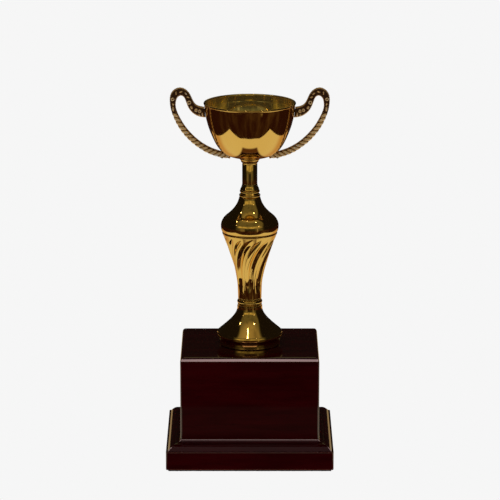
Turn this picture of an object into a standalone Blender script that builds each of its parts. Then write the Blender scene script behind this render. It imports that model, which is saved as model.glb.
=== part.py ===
"""Two-handled gold cup on a turned, fluted stem and a gloss mahogany base.

Metres, +Z up. The origin is the middle of the underside of the felt pad, the handles lie along X and the
front faces -Y. One threaded tie rod clamps the whole stack: the base, the foot, the column, the knop, the
neck and the bowl. The stack can turn about that rod between the base and the foot, and again between the
collar and the bowl.
"""

import math

import bmesh
import bpy
from mathutils import Matrix, Vector

MM = 0.001
GAP = 0.3 * MM  # clearance between pieces that touch
FINE = 36  # faces round a large turned piece
COARSE = 18  # faces round a small one

# Base: a felt pad, a moulded plinth and a tall block with rounded edges.
PLINTH_LENGTH = 145.5 * MM
PLINTH_DEPTH = 129 * MM
PLINTH_CORNER = 1.2 * MM
PLINTH_TOP = 25.3 * MM
PLINTH_CHAMFER = 1 * MM  # along the bottom edge
PLINTH_FACE_TOP = 17.8 * MM  # height where the upright face ends below the moulding
PLINTH_FACE_EASING = 0.5 * MM
BLOCK_LENGTH = 120.5 * MM
BLOCK_DEPTH = 104 * MM
BLOCK_TOP = 98.5 * MM
BLOCK_ROUNDOVER = 4 * MM  # along the top edges
BLOCK_CORNER = 1.2 * MM  # along the upright edges
FELT_INSET = 2 * MM
FELT_THICKNESS = 1 * MM

# Metal stack: the height of the top of each piece.
FOOT_TOP = 133 * MM
RING_TOP = 139.5 * MM
COLUMN_TOP = 199.8 * MM
KNOP_TOP = 241.8 * MM
NECK_TOP = 261.1 * MM
COLLAR_TOP = 265.5 * MM
RIM_TOP = 314 * MM

# Metal stack: radii and walls.
FOOT_WALL = 1.5 * MM
FOOT_NECK_RADIUS = 11 * MM
FOOT_EDGE_RADIUS = 28.8 * MM
FOOT_EDGE_HEIGHT = 105.9 * MM
FOOT_EDGE_THICKNESS = 2 * MM
FOOT_SKIRT_RADIUS = 26.8 * MM  # low on the skirt, where it turns in to the sole
FOOT_SKIRT_HEIGHT = 102.5 * MM
FOOT_SOLE_RADIUS = 26.2 * MM
RING_RADIUS = 11 * MM
RING_BORE_RADIUS = 7 * MM
RING_BEAD_WIDTH = 2 * MM
RING_BEAD_HALF_HEIGHT = 2.9 * MM
COLUMN_WALL = 1.6 * MM
COLUMN_FOOT_RADIUS = 10.5 * MM
COLUMN_LIP_RADIUS = 24 * MM
COLUMN_LIP_HEIGHT = 1.4 * MM
FLUTES = 8
FLUTE_BOTTOM = 143.5 * MM
FLUTE_TOP = 197 * MM
FLUTE_DEPTH = 1.1 * MM
FLUTE_TWIST = math.radians(-62)
KNOP_WALL = 1.5 * MM
KNOP_BEADS = ((7.8 * MM, 235.5 * MM), (8.4 * MM, 231.9 * MM))  # radius and height, from the top down
KNOP_BEAD_WIDTH = 0.9 * MM
KNOP_BEAD_HALF_HEIGHT = 1.1 * MM
NECK_RADIUS = 6.6 * MM
NECK_WALL = 1.4 * MM
COLLAR_RADIUS = 8.7 * MM
COLLAR_BAND_HEIGHT = 2.7 * MM  # the wide upper part
COLLAR_STEP_RADIUS = 7.6 * MM
RIM_RADIUS = 40 * MM
RIM_ROLL = 0.9 * MM
BOWL_WALL = 1 * MM

# Fasteners: an M6 rod with nuts and washers, M3 handle screws, 4 mm wood screws.
ROD_RADIUS = 3 * MM
ROD_BORE_RADIUS = 3.5 * MM
ROD_BOTTOM = 5 * MM
ROD_TOP = 277 * MM
NUT_BORE_RADIUS = ROD_RADIUS + GAP
NUT_RADIUS = 5.77 * MM  # across the corners of a 10 mm nut
NUT_HEIGHT = 5 * MM
WASHER_RADIUS = 8 * MM
WASHER_THICKNESS = 1.2 * MM
COUNTERBORE_RADIUS = 11 * MM
COUNTERBORE_TOP = 15 * MM
SCREW_RADIUS = 1.5 * MM
SCREW_LENGTH = 5.2 * MM
SCREW_HEAD_RADIUS = 2.75 * MM
SCREW_HEAD_HEIGHT = 1.8 * MM
SCREW_HEAD_LIFT = 0.8 * MM  # the flat head stands this far off the hollow side of the wall
SCREW_SLOT_WIDTH = 0.9 * MM
SCREW_SLOT_FLOOR = 0.9 * MM  # height of the slot's floor above the underside of the head
WOOD_SCREW_RADIUS = 1.9 * MM
WOOD_SCREW_HEAD_RADIUS = 4 * MM
WOOD_SCREW_BOTTOM = 1.9 * MM
WOOD_SCREW_TOP = 42 * MM
WOOD_SCREW_POINT = 4 * MM
WOOD_SCREW_HEAD_EDGE = 0.5 * MM
WOOD_SCREW_HEAD_HEIGHT = 2.6 * MM
WOOD_SCREW_SLOT = (6 * MM, 1 * MM, 1 * MM)  # length, width, depth
WOOD_SCREW_X = 42 * MM
WOOD_SCREW_Y = 34 * MM

# Cubic curves of the turned outlines: radius and height of the four control points.
FOOT_FLARE = ((11.0, 131.0), (11.2, 124.0), (20.6, 116.7), (28.3, 109.9))
COLUMN_SWEEP = ((10.3, 140.5), (10.3, 161.5), (16.7, 179.5), (23.8, 197.9))
KNOP_BULGE = ((19.0, 215.0), (25.4, 210.4), (26.2, 205.0), (24.3, 200.1))
KNOP_SHOULDER = ((9.1, 230.7), (10.6, 222.5), (15.6, 218.1), (19.0, 215.0))
KNOP_THROAT = ((6.7, 241.8), (6.9, 239.1), (8.2, 238.3), (8.3, 236.7))
BOWL_SIDE = ((39.3, 312.4), (39.1, 303.5), (36.9, 295.0), (34.2, 288.2))
BOWL_BELLY = ((34.2, 288.2), (31.55, 281.6), (27.0, 265.8), (9.0, 265.8))

# Moulding of the plinth from the block outwards and down, a hollow and then a swell: the distance in from
# the plinth's edge and the height of the control points.
MOULDING_HOLLOW = ((12.1, 24.4), (11.2, 23.2), (9.4, 22.9), (7.6, 22.7))
MOULDING_SWELL = ((7.6, 22.7), (5.8, 22.3), (3.6, 20.6), (1.7, 18.1))

# The handle's centre line, from the bowl's lug over the top and down to the seat under the bowl:
# distance from the axis, height, half thickness.
HANDLE_ROUTE = (
    (37.0, 305.1, 4.9),
    (43.5, 306.1, 4.8),
    (49.3, 309.9, 3.9),
    (52.6, 316.2, 3.3),
    (55.6, 321.4, 3.4),
    (60.3, 323.3, 3.9),
    (64.7, 320.7, 3.8),
    (66.4, 315.1, 3.1),
    (66.0, 308.5, 2.7),
    (63.5, 301.3, 2.8),
    (59.2, 293.1, 3.0),
    (52.7, 284.7, 3.1),
    (44.5, 277.3, 3.1),
    (34.5, 271.3, 3.2),
    (25.0, 268.1, 3.1),
    (16.8, 266.6, 2.7),
)
UPPER_SCREW_AT = 0.22  # place of each handle screw along BOWL_SIDE and BOWL_BELLY
LOWER_SCREW_AT = 0.7


def clear_scene():
    for item in list(bpy.data.objects):
        bpy.data.objects.remove(item)


def new_collection(name):
    collection = bpy.data.collections.new(name)
    bpy.context.scene.collection.children.link(collection)
    return collection


def new_material(name, colour, roughness, metallic):
    material = bpy.data.materials.new(name)
    material.use_nodes = True
    shader = material.node_tree.nodes["Principled BSDF"]
    shader.inputs["Base Color"].default_value = (*colour, 1)
    shader.inputs["Roughness"].default_value = roughness
    shader.inputs["Metallic"].default_value = metallic
    return material


def cubic(control, steps):
    """Points of a cubic curve given in millimetres, both ends included."""
    return [cubic_point(control, step / steps) for step in range(steps + 1)]


def cubic_point(control, t):
    weights = ((1 - t) ** 3, 3 * t * (1 - t) ** 2, 3 * t * t * (1 - t), t**3)
    return tuple(MM * sum(w * point[axis] for w, point in zip(weights, control)) for axis in (0, 1))


def cubic_normal(control, t):
    """Unit vector square to the curve, pointing away from the axis on a curve that runs downwards."""
    before = Vector(cubic_point(control, t - 0.01))
    after = Vector(cubic_point(control, t + 0.01))
    along = (after - before).normalized()
    return Vector((-along.y, along.x))


def arc(radius, height, half_width, half_height, start, end, steps):
    """Points on an ellipse about (radius, height), from start to end in degrees."""
    angles = [math.radians(start + (end - start) * step / steps) for step in range(steps + 1)]
    return [(radius + half_width * math.cos(a), height + half_height * math.sin(a)) for a in angles]


def place(item, collection, material):
    """Put an object in a collection with its material."""
    collection.objects.link(item)
    item.data.materials.append(material)
    return item


def settled(item):
    """Replace an object's mesh by the one its modifiers make, shaded smooth up to its sharp edges."""
    bpy.context.view_layer.update()
    graph = bpy.context.evaluated_depsgraph_get()
    mesh = bpy.data.meshes.new_from_object(item.evaluated_get(graph))
    mesh.name = item.name
    mesh.shade_smooth()
    mesh.set_sharp_from_angle(angle=math.radians(32))
    item.modifiers.clear()
    item.data = mesh
    return item


def turned(name, outline, collection, material, steps=FINE, wall=0.0, closed=False):
    """Turn an outline of (radius, height) about Z. It runs down the outer side. A wall makes it a shell."""
    count = len(outline)
    edges = [(i, i + 1) for i in range(count - 1)]
    if closed:
        edges.append((count - 1, 0))
    mesh = bpy.data.meshes.new(name)
    mesh.from_pydata([(radius, 0, height) for radius, height in outline], edges, [])
    item = place(bpy.data.objects.new(name, mesh), collection, material)
    screw = item.modifiers.new("turn", "SCREW")
    screw.axis = "Z"
    screw.steps = steps
    screw.render_steps = steps
    screw.use_merge_vertices = True
    screw.merge_threshold = 0.01 * MM
    if wall:
        shell = item.modifiers.new("wall", "SOLIDIFY")
        shell.thickness = wall
        shell.offset = -1
        shell.use_even_offset = True
    return settled(item)


def tube_outline(inner, outer, bottom, top):
    return [(inner, top), (outer, top), (outer, bottom), (inner, bottom)]


def cylinder(name, radius, bottom, top, collection, material, sides=COARSE):
    """Upright prism or cylinder on the axis."""
    mesh = bpy.data.meshes.new(name)
    shape = bmesh.new()
    bmesh.ops.create_cone(
        shape,
        cap_ends=True,
        segments=sides,
        radius1=radius,
        radius2=radius,
        depth=top - bottom,
        matrix=Matrix.Translation((0, 0, (bottom + top) / 2)),
    )
    shape.to_mesh(mesh)
    shape.free()
    return place(bpy.data.objects.new(name, mesh), collection, material)


def box(name, length, depth, bottom, top, collection, material):
    mesh = bpy.data.meshes.new(name)
    shape = bmesh.new()
    size = Matrix.Diagonal((length, depth, top - bottom, 1))
    bmesh.ops.create_cube(shape, size=1, matrix=Matrix.Translation((0, 0, (bottom + top) / 2)) @ size)
    shape.to_mesh(mesh)
    shape.free()
    return place(bpy.data.objects.new(name, mesh), collection, material)


def stacked_sections(name, sections, collection, material, hollow=False):
    """Solid through sections with equal numbers of points. A hollow one joins its last section to its first."""
    mesh = bpy.data.meshes.new(name)
    shape = bmesh.new()
    rings = [[shape.verts.new(point) for point in section] for section in sections]
    pairs = list(zip(rings, rings[1:]))
    if hollow:
        pairs.append((rings[-1], rings[0]))
    else:
        shape.faces.new(rings[0])
        shape.faces.new(reversed(rings[-1]))
    for above, below in pairs:
        for i in range(len(above)):
            j = (i + 1) % len(above)
            shape.faces.new((above[i], below[i], below[j], above[j]))
    shape.to_mesh(mesh)
    shape.free()
    return settled(place(bpy.data.objects.new(name, mesh), collection, material))


def rounded_rectangle(length, depth, corner, height):
    """Corner points of a board's outline, counter-clockwise from +X."""
    points = []
    for quarter, (side_x, side_y) in enumerate(((1, 1), (-1, 1), (-1, -1), (1, -1))):
        centre_x = side_x * (length / 2 - corner)
        centre_y = side_y * (depth / 2 - corner)
        for step in range(5):
            angle = math.radians(90 * quarter + 90 * step / 4)
            points.append((centre_x + corner * math.cos(angle), centre_y + corner * math.sin(angle), height))
    return points


def cut(item, *cutters):
    """Take the cutters' volume out of an object."""
    for cutter in cutters:
        cutter.hide_render = True
        cutter.display_type = "WIRE"
        boolean = item.modifiers.new(cutter.name, "BOOLEAN")
        boolean.operation = "DIFFERENCE"
        boolean.object = cutter
    return item


def screw_turn(at, along):
    """World matrix that moves the Z axis onto a line through a point."""
    return Matrix.Translation(at) @ Vector((0, 0, 1)).rotation_difference(along).to_matrix().to_4x4()


def hang_on(pivot, *items):
    """Parent objects to a pivot empty without moving them."""
    bpy.context.view_layer.update()
    for item in items:
        item.parent = pivot
        item.matrix_parent_inverse = pivot.matrix_world.inverted()


def new_pivot(name, height, collection):
    pivot = bpy.data.objects.new(name, None)
    pivot.location = (0, 0, height)
    collection.objects.link(pivot)
    return pivot


def wood_screw_outline(margin):
    """Countersunk wood screw, point up and head down, or with a margin the hole that it sits in."""
    shank = WOOD_SCREW_RADIUS + margin
    head = WOOD_SCREW_HEAD_RADIUS + margin
    top = WOOD_SCREW_TOP + 4 * margin
    bottom = WOOD_SCREW_BOTTOM - 4 * margin
    return [
        (0, top),
        (shank, top - WOOD_SCREW_POINT),
        (shank, WOOD_SCREW_BOTTOM + WOOD_SCREW_HEAD_HEIGHT),
        (head, WOOD_SCREW_BOTTOM + WOOD_SCREW_HEAD_EDGE),
        (head, bottom),
        (0, bottom),
    ]


def build_base(parts, cutters, wood, felt, steel):
    """Felt pad, plinth, block and the four screws that hold the last two together."""
    bore = cylinder("rod_bore", ROD_BORE_RADIUS, -MM, BLOCK_TOP + MM, cutters, wood)
    counterbore = cylinder("nut_bore", COUNTERBORE_RADIUS, -MM, COUNTERBORE_TOP, cutters, wood, FINE)
    pad_length = PLINTH_LENGTH - 2 * FELT_INSET
    pad_depth = PLINTH_DEPTH - 2 * FELT_INSET
    pad = box("felt_pad", pad_length, pad_depth, 0, FELT_THICKNESS, parts, felt)

    # Outline of the plinth, from the block's foot outwards and down: inset and height.
    margin = (PLINTH_LENGTH - BLOCK_LENGTH) / 2
    moulding = [(margin, PLINTH_TOP)]
    moulding += cubic(MOULDING_HOLLOW, 4)
    moulding += cubic(MOULDING_SWELL, 5)[1:]
    moulding += [(PLINTH_FACE_EASING, PLINTH_FACE_TOP), (0, PLINTH_FACE_TOP - PLINTH_FACE_EASING)]
    bottom = FELT_THICKNESS + GAP
    moulding += [(0, bottom + PLINTH_CHAMFER), (PLINTH_CHAMFER, bottom)]
    sections = []
    for inset, height in moulding:
        length = PLINTH_LENGTH - 2 * inset
        depth = PLINTH_DEPTH - 2 * inset
        sections.append(rounded_rectangle(length, depth, PLINTH_CORNER, height))
    plinth = stacked_sections("base_plinth", sections, parts, wood)

    block = box("base_block", BLOCK_LENGTH, BLOCK_DEPTH, PLINTH_TOP + GAP, BLOCK_TOP, parts, wood)
    rounding = block.modifiers.new("roundover", "BEVEL")
    rounding.width = BLOCK_ROUNDOVER
    rounding.segments = 4
    rounding.limit_method = "WEIGHT"
    weights = block.data.attributes.new("bevel_weight_edge", "FLOAT", "EDGE")
    for edge in block.data.edges:
        ends = [block.data.vertices[index].co.z for index in edge.vertices]
        if min(ends) > BLOCK_TOP - MM:
            weights.data[edge.index].value = 1.0
        elif max(ends) > BLOCK_TOP - MM:
            weights.data[edge.index].value = BLOCK_CORNER / BLOCK_ROUNDOVER

    slot_length, slot_width, slot_depth = WOOD_SCREW_SLOT
    slot_top = WOOD_SCREW_BOTTOM + slot_depth
    screws = []
    holes = []
    for index in range(4):
        x = WOOD_SCREW_X * (1 if index % 2 else -1)
        y = WOOD_SCREW_Y * (1 if index // 2 else -1)
        screw = turned(f"wood_screw_{index + 1}", wood_screw_outline(0), parts, steel, COARSE)
        hole = turned(f"wood_screw_hole_{index + 1}", wood_screw_outline(GAP), cutters, steel, COARSE)
        slot = box(f"wood_screw_slot_{index + 1}", slot_length, slot_width, 0, slot_top, cutters, steel)
        for item in (screw, hole, slot):
            item.location = (x, y, 0)
        screws.append(cut(screw, slot))
        holes.append(hole)
    cut(plinth, bore, counterbore, *holes)
    cut(block, bore, *holes)
    return [pad, plinth, block, *screws]


def fluted_column(parts, metal):
    """Trumpet-shaped column whose rounded flutes lean at the top and fade out at the waist."""
    lip = [(COLUMN_LIP_RADIUS, COLUMN_TOP), (COLUMN_LIP_RADIUS, COLUMN_TOP - COLUMN_LIP_HEIGHT)]
    sweep = cubic(COLUMN_SWEEP, 10)
    foot = (COLUMN_FOOT_RADIUS, RING_TOP + GAP)
    profile = [*lip, *reversed(sweep), foot]
    steps_round = FLUTES * 6
    angles = [2 * math.pi * step / steps_round for step in range(steps_round)]
    rings = []
    for radius, height in profile:
        share = min(max((height - FLUTE_BOTTOM) / (FLUTE_TOP - FLUTE_BOTTOM), 0), 1)
        depth = FLUTE_DEPTH * math.sin(math.pi * min(share * 1.08, 1)) ** 0.6
        lean = FLUTE_TWIST * share**2
        ring = []
        for angle in angles:
            dip = depth * (0.5 - 0.5 * math.cos(FLUTES * (angle - lean)))
            reach = radius - dip
            ring.append((reach * math.cos(angle), reach * math.sin(angle), height))
        rings.append(ring)
    every_third = sweep[2:10:3]
    for radius, height in [foot, *every_third, lip[1], lip[0]]:
        reach = radius - FLUTE_DEPTH - COLUMN_WALL
        rings.append([(reach * math.cos(a), reach * math.sin(a), height) for a in angles])
    return stacked_sections("fluted_column", rings, parts, metal, hollow=True)


def build_figure(parts, cutters, gold, steel):
    """Foot, ring, column, knop, neck and collar, with the rod, nuts and washers that clamp them."""
    foot_outline = [(ROD_BORE_RADIUS, FOOT_TOP), (FOOT_NECK_RADIUS, FOOT_TOP)]
    foot_outline += cubic(FOOT_FLARE, 8)
    foot_outline += [
        (FOOT_EDGE_RADIUS, FOOT_EDGE_HEIGHT + FOOT_EDGE_THICKNESS),
        (FOOT_EDGE_RADIUS, FOOT_EDGE_HEIGHT),
        (FOOT_SKIRT_RADIUS, FOOT_SKIRT_HEIGHT),
        (FOOT_SOLE_RADIUS, BLOCK_TOP + GAP),
    ]
    foot = turned("bell_foot", foot_outline, parts, gold, wall=FOOT_WALL)

    ring_bottom = FOOT_TOP + GAP
    bead_radius = RING_RADIUS - RING_BEAD_WIDTH
    bead_height = (ring_bottom + RING_TOP) / 2
    bead = arc(bead_radius, bead_height, RING_BEAD_WIDTH, RING_BEAD_HALF_HEIGHT, 80, -80, 6)
    ring_outline = [(RING_BORE_RADIUS, RING_TOP), *bead, (RING_BORE_RADIUS, ring_bottom)]
    ring = turned("column_ring", ring_outline, parts, gold, closed=True)

    column = fluted_column(parts, gold)

    beads = []
    for radius, height in KNOP_BEADS:
        beads += arc(radius, height, KNOP_BEAD_WIDTH, KNOP_BEAD_HALF_HEIGHT, 90, -90, 3)
    knop_outline = [(ROD_BORE_RADIUS, KNOP_TOP)]
    knop_outline += cubic(KNOP_THROAT, 3)
    knop_outline += beads
    knop_outline += cubic(KNOP_SHOULDER, 5)[1:]
    knop_outline += cubic(KNOP_BULGE, 7)[1:]
    knop = turned("onion_knop", knop_outline, parts, gold, wall=KNOP_WALL)

    neck_outline = tube_outline(NECK_RADIUS - NECK_WALL, NECK_RADIUS, KNOP_TOP + GAP, NECK_TOP)
    neck = turned("neck_tube", neck_outline, parts, gold, COARSE, closed=True)
    collar_bottom = NECK_TOP + GAP
    band_bottom = COLLAR_TOP - COLLAR_BAND_HEIGHT
    chamfer = 0.5 * MM
    collar_outline = [
        (ROD_BORE_RADIUS, COLLAR_TOP),
        (COLLAR_RADIUS - chamfer, COLLAR_TOP),
        (COLLAR_RADIUS, COLLAR_TOP - chamfer),
        (COLLAR_RADIUS, band_bottom + chamfer),
        (COLLAR_RADIUS - chamfer, band_bottom),
        (COLLAR_STEP_RADIUS, band_bottom),
        (COLLAR_STEP_RADIUS, collar_bottom),
        (ROD_BORE_RADIUS, collar_bottom),
    ]
    collar = turned("bowl_collar", collar_outline, parts, gold, COARSE, closed=True)

    rod = cylinder("tie_rod", ROD_RADIUS, ROD_BOTTOM, ROD_TOP, parts, steel)
    rod_ends = rod.modifiers.new("chamfer", "BEVEL")
    rod_ends.width = 0.6 * MM
    rod_ends.segments = 1
    rod_ends.limit_method = "ANGLE"
    rod_ends.angle_limit = math.radians(60)
    nut_bore = cylinder("nut_thread_bore", NUT_BORE_RADIUS, 0, RIM_TOP, cutters, steel)

    base_washer_bottom = COUNTERBORE_TOP - GAP - WASHER_THICKNESS
    base_nut_top = base_washer_bottom - GAP
    bowl_washer_bottom = COLLAR_TOP + BOWL_WALL + 2 * GAP
    bowl_nut_bottom = bowl_washer_bottom + WASHER_THICKNESS + GAP
    base_washer = washer("base_washer", base_washer_bottom, parts, steel)
    bowl_washer = washer("bowl_washer", bowl_washer_bottom, parts, steel)
    base_nut = cylinder("base_nut", NUT_RADIUS, base_nut_top - NUT_HEIGHT, base_nut_top, parts, steel, 6)
    bowl_nut = cylinder("bowl_nut", NUT_RADIUS, bowl_nut_bottom, bowl_nut_bottom + NUT_HEIGHT, parts, steel, 6)
    cut(base_nut, nut_bore)
    cut(bowl_nut, nut_bore)
    return [foot, ring, column, knop, neck, collar, rod, base_washer, bowl_washer, base_nut, bowl_nut]


def washer(name, bottom, parts, steel):
    outline = tube_outline(NUT_BORE_RADIUS, WASHER_RADIUS, bottom, bottom + WASHER_THICKNESS)
    return turned(name, outline, parts, steel, COARSE, closed=True)


def bowl_outline(offset):
    """Outside of the bowl from the lip to the bore, moved outwards by an offset."""
    roll_height = RIM_TOP - RIM_ROLL
    outline = [(RIM_RADIUS - RIM_ROLL + x, z) for x, z in arc(0, roll_height, RIM_ROLL, RIM_ROLL, 90, -60, 4)]
    side = [(curve, step / 6) for curve in (BOWL_SIDE, BOWL_BELLY) for step in range(1, 7)]
    for curve, t in side:
        radius, height = cubic_point(curve, t)
        away = cubic_normal(curve, t) * offset
        outline.append((radius + away.x, height + away.y))
    return outline


def handle_body(name, side, parts, metal):
    """Cast handle as a tube of changing thickness along its route, ready to be cut."""
    curve = bpy.data.curves.new(name, "CURVE")
    curve.dimensions = "3D"
    curve.resolution_u = 3
    curve.bevel_depth = MM
    curve.bevel_resolution = 2
    curve.use_fill_caps = True
    spline = curve.splines.new("BEZIER")
    spline.bezier_points.add(len(HANDLE_ROUTE) - 1)
    for point, (reach, height, half) in zip(spline.bezier_points, HANDLE_ROUTE):
        point.co = (side * reach * MM, 0, height * MM)
        point.handle_left_type = "AUTO"
        point.handle_right_type = "AUTO"
        point.radius = half
    guide = bpy.data.objects.new(name, curve)
    parts.objects.link(guide)
    bpy.context.view_layer.update()
    graph = bpy.context.evaluated_depsgraph_get()
    mesh = bpy.data.meshes.new_from_object(guide.evaluated_get(graph))
    bpy.data.objects.remove(guide)
    shape = bmesh.new()
    shape.from_mesh(mesh)
    bmesh.ops.remove_doubles(shape, verts=shape.verts, dist=0.001 * MM)
    bmesh.ops.recalc_face_normals(shape, faces=shape.faces)
    shape.to_mesh(mesh)
    shape.free()
    mesh.shade_smooth()
    return place(bpy.data.objects.new(name, mesh), parts, metal)


def handle_screw(name, curve, t, side, parts, cutters, steel):
    """Round-headed screw put in from inside the bowl, square to its wall, and the hole for it."""
    radius, height = cubic_point(curve, t)
    normal = cubic_normal(curve, t)
    outward = Vector((side * normal.x, 0, normal.y))
    on_wall = Vector((side * radius, 0, height))
    stand_off = BOWL_WALL + SCREW_HEAD_LIFT
    seat = on_wall - outward * stand_off
    turn = screw_turn(seat, -outward)
    shank_end = -(SCREW_LENGTH + stand_off)
    dome = arc(0, 0.3 * MM, SCREW_HEAD_RADIUS, SCREW_HEAD_HEIGHT - 0.3 * MM, 90, 0, 4)
    outline = [*dome, (SCREW_HEAD_RADIUS, 0), (SCREW_RADIUS, 0), (SCREW_RADIUS, shank_end), (0, shank_end)]
    screw = turned(name, outline, parts, steel, COARSE)
    slot_length = 2 * SCREW_HEAD_RADIUS + MM
    slot_top = SCREW_HEAD_HEIGHT + MM
    slot = box(f"{name}_slot", slot_length, SCREW_SLOT_WIDTH, SCREW_SLOT_FLOOR, slot_top, cutters, steel)
    hole = cylinder(f"{name}_hole", SCREW_RADIUS + GAP, shank_end - 0.5 * MM, 2 * MM, cutters, steel)
    for item in (screw, slot, hole):
        item.matrix_world = turn
    return cut(screw, slot), hole


def build_cup(parts, cutters, gold, antique_gold, steel):
    """Bowl, two handles and the four screws that hold them on."""
    outline = [*bowl_outline(0), (ROD_BORE_RADIUS, COLLAR_TOP + GAP)]
    bowl = turned("bowl", outline, parts, gold, FINE, wall=BOWL_WALL)
    clearance_outline = [(0, RIM_TOP + GAP), *bowl_outline(GAP), (0, COLLAR_TOP)]
    clearance = turned("bowl_clearance", clearance_outline, cutters, gold)
    pieces = [bowl]
    for side, label in ((-1, "left"), (1, "right")):
        handle = handle_body(f"{label}_handle", side, parts, antique_gold)
        upper, upper_hole = handle_screw(
            f"{label}_upper_screw", BOWL_SIDE, UPPER_SCREW_AT, side, parts, cutters, steel
        )
        lower, lower_hole = handle_screw(
            f"{label}_lower_screw", BOWL_BELLY, LOWER_SCREW_AT, side, parts, cutters, steel
        )
        cut(handle, clearance, upper_hole, lower_hole)
        cut(bowl, upper_hole, lower_hole)
        pieces += [handle, upper, lower]
    return pieces


def main():
    clear_scene()
    parts = new_collection("cup_trophy")
    cutters = new_collection("cup_trophy_cutters")
    gold = new_material("polished_gold", (0.83, 0.57, 0.22), 0.12, 1.0)
    antique_gold = new_material("antique_gold", (0.45, 0.31, 0.15), 0.3, 1.0)
    wood = new_material("gloss_mahogany", (0.07, 0.006, 0.006), 0.08, 0.0)
    felt = new_material("black_felt", (0.02, 0.02, 0.025), 0.95, 0.0)
    steel = new_material("zinc_steel", (0.62, 0.62, 0.6), 0.35, 1.0)

    build_base(parts, cutters, wood, felt, steel)
    figure = build_figure(parts, cutters, gold, steel)
    cup = build_cup(parts, cutters, gold, antique_gold, steel)

    figure_swivel = new_pivot("figure_swivel", BLOCK_TOP, parts)
    cup_swivel = new_pivot("cup_swivel", COLLAR_TOP, parts)
    hang_on(figure_swivel, *figure, cup_swivel)
    hang_on(cup_swivel, *cup)


main()
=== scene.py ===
"""Looks of the two-handled cup trophy: its fine surfaces and finishes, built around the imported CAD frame.

The frame is in metres, Z up, with the handles along X and the front facing -Y. Outlines here are in
millimetres. Most pieces are turned: an outline of (radius, height) that runs down the outer side is spun
about Z. The wooden boards are stacks of rounded rectangles, and a handle is a section swept along a route.
"""

import math

import bmesh
import bpy
import numpy as np
from mathutils import Matrix, Vector


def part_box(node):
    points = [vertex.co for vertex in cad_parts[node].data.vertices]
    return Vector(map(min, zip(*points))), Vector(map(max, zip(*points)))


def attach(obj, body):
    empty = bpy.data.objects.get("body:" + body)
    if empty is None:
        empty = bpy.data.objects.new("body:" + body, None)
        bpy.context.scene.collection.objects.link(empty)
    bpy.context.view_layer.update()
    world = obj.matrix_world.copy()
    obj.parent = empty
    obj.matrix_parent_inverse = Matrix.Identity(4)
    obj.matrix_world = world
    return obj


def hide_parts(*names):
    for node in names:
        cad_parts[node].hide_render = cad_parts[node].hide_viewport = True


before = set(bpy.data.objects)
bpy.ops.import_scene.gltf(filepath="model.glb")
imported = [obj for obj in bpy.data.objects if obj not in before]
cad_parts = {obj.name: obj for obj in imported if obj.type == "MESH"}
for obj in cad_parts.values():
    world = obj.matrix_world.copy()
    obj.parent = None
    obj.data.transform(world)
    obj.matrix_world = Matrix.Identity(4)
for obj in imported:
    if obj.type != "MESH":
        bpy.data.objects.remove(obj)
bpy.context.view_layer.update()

MM = 0.001
GAP = 0.3  # clearance between touching pieces
ROUND = 144  # columns round a large turned piece
SMALL_ROUND = 48  # columns round a fastener
SOFT_CORNER = 0.25  # radius that turned edges are eased by
EASING_STEPS = 4
EDGE_GUARD = 0.4  # a board has one more row of points this far from each rounded edge

# Camera: it looks at the front from above, through a long lens.
CAMERA_PLACE = (0.0002, -2.60516, 0.81506)
CAMERA_TILT = 13.648  # degrees below the horizon
CAMERA_LENS = 220.8

# Colours, as linear red, green and blue.
PALE = (0.922, 0.922, 0.922)  # the floor and everything behind it
BRIGHT_GOLD = (0.86, 0.55, 0.165)
DEEP_GOLD = (0.80, 0.48, 0.125)
RUBBED_GOLD = (0.88, 0.68, 0.36)
# near-black brown painted into the polished gold's creases as shade
PAINTED_CREASE_SHADE = (0.10, 0.035, 0.008)
# lighter gold painted on the bowl's inside as light
PAINTED_LIGHT_INSIDE_GOLD = (0.97, 0.74, 0.26)
CAST_HOLLOW = (0.07, 0.026, 0.009)
CAST_GOLD = (0.80, 0.46, 0.17)
CAST_HIGH_SPOT = (1.0, 0.86, 0.58)
BARE_METAL = (0.80, 0.79, 0.76)
DARK_WOOD = (0.015, 0.0003, 0.0006)
RED_WOOD = (0.026, 0.0006, 0.0012)
WOOD_PORE = (0.005, 0.0002, 0.0004)
# lighter edge colour of the wood: partly worn lacquer, partly painted highlight
EDGE_WEAR_AND_PAINTED_HIGHLIGHT = (0.11, 0.035, 0.03)
LAMP_WHITE = (1.0, 0.92, 0.76)
LOW_LAMP_WHITE = (1.0, 0.9, 0.7)

# Cubic outlines of the turned pieces: radius and height of the four control points.
FOOT_FLARE = ((11.0, 131.0), (11.2, 124.0), (20.6, 116.7), (28.3, 109.9))
COLUMN_SWEEP = ((10.3, 140.5), (10.3, 161.5), (16.7, 179.5), (23.8, 197.9))
KNOP_BULGE = ((19.0, 215.0), (25.4, 210.4), (26.2, 205.0), (24.3, 200.1))
KNOP_SHOULDER = ((9.1, 230.7), (10.6, 222.5), (15.6, 218.1), (19.0, 215.0))
KNOP_THROAT = ((6.7, 241.8), (6.9, 239.1), (8.2, 238.3), (8.3, 236.7))
BOWL_SIDE = ((39.3, 312.4), (39.1, 303.5), (36.9, 295.0), (34.2, 288.2))
BOWL_BELLY = ((34.2, 288.2), (29.0, 275.1), (24.3, 265.8), (9.0, 265.8))

# Wooden base. The plinth's moulding is a hollow and then a swell: distance in from its edge, and height.
BOARD_CORNER = 1.2
BLOCK_ROUNDOVER = 4.0
FACE_TOP = 17.8  # top of the plinth's plain lower face
COUNTERBORE = 11.0
COUNTERBORE_TOP = 15.0
MOULDING_HOLLOW = ((12.1, 24.4), (11.2, 23.2), (9.4, 22.9), (7.6, 22.7))
MOULDING_SWELL = ((7.6, 22.7), (5.8, 22.3), (3.6, 20.6), (1.7, 18.1))

# Walls and small radii.
BORE = 3.5
NUT_BORE = 3.3
FOOT_WALL = 1.5
KNOP_WALL = 1.5
NECK_WALL = 1.4
BOWL_WALL = 1.0
RIM_ROLL = 0.9
RIM_TOP = 314.0
KNOP_BEADS = ((7.8, 235.5), (8.4, 231.9))

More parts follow.
